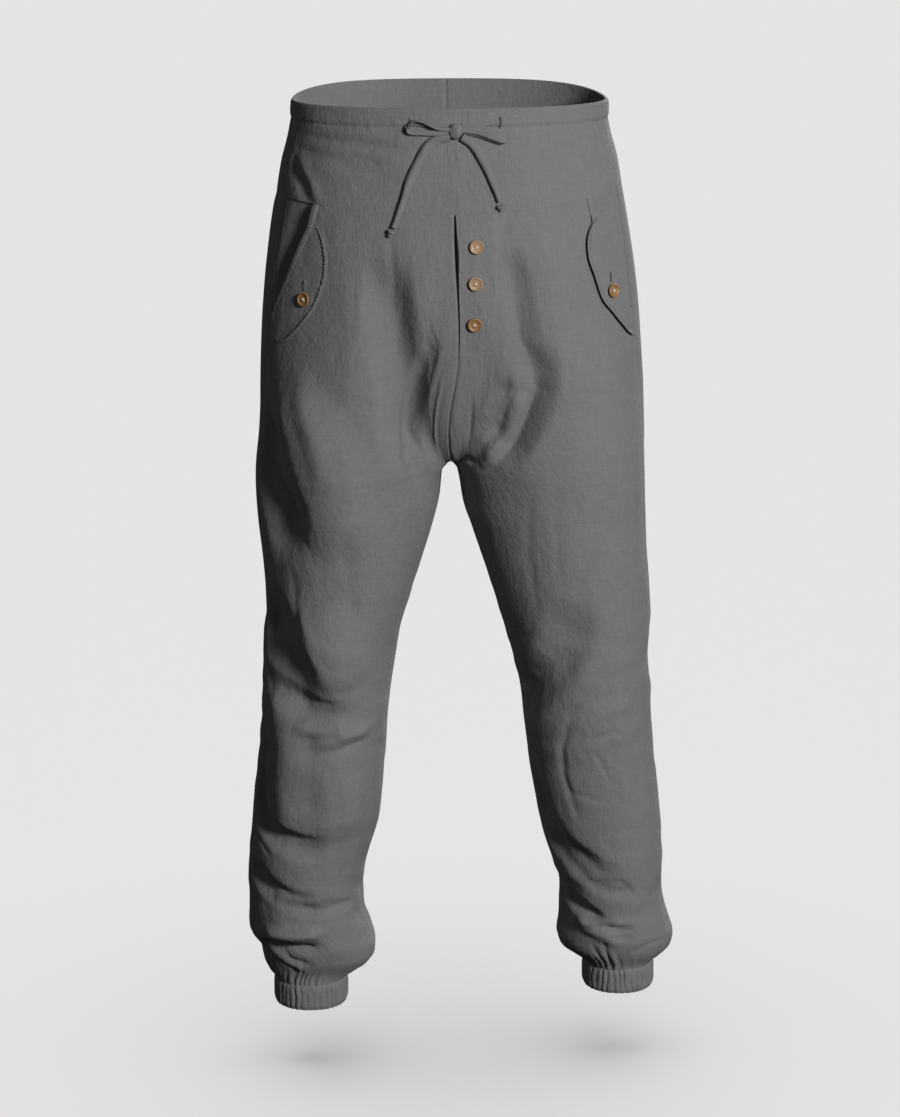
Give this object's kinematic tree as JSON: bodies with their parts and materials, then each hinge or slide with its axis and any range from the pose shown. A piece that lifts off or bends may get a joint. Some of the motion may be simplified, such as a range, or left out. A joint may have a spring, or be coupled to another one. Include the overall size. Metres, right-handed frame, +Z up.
{
  "type": "harem pants",
  "caption": "Hollow grey cotton harem pants filled out as worn, with yoke waistband, drawstring bow, buttoned fly, flap pockets, dropped crotch and gathered cuffs.",
  "frame": {"origin": "middle of the waist opening, at the height of the waistband's top edge at the sides", "axes": "+Z up through the waist opening, -Y out of the front, +X towards the wearer's left"},
  "size_m": [0.4861, 0.2844, 1.039],
  "materials": {
    "cotton_cloth": "matt crinkled plain-weave cotton, mid grey",
    "tie_cloth": "matt folded cotton tie, mid grey",
    "button_wood": "turned wood, satin"
  },
  "bodies": {
    "root": {"front_leg_r": "cotton_cloth", "front_leg_l": "cotton_cloth", "back_leg_r": "cotton_cloth", "back_leg_l": "cotton_cloth", "pocket_hip_r": "cotton_cloth", "pocket_hip_l": "cotton_cloth", "pocket_welt_r": "cotton_cloth", "pocket_welt_l": "cotton_cloth", "pocket_flap_r": "cotton_cloth", "pocket_flap_l": "cotton_cloth", "waistband_front": "cotton_cloth", "waistband_back_r": "cotton_cloth", "waistband_back_l": "cotton_cloth", "cuff_r": "cotton_cloth", "cuff_l": "cotton_cloth", "fly_placket": "cotton_cloth", "fly_button_1": "button_wood", "fly_button_2": "button_wood", "fly_button_3": "button_wood", "pocket_button_r": "button_wood", "pocket_button_l": "button_wood", "drawstring_loop_r": "tie_cloth", "drawstring_loop_l": "tie_cloth", "drawstring_lead_r": "tie_cloth", "drawstring_lead_l": "tie_cloth", "drawstring_tail_r": "tie_cloth", "drawstring_tail_l": "tie_cloth", "drawstring_knot": "tie_cloth", "drawstring_end_r": "tie_cloth", "drawstring_end_l": "tie_cloth"}
  },
  "joints": []
}
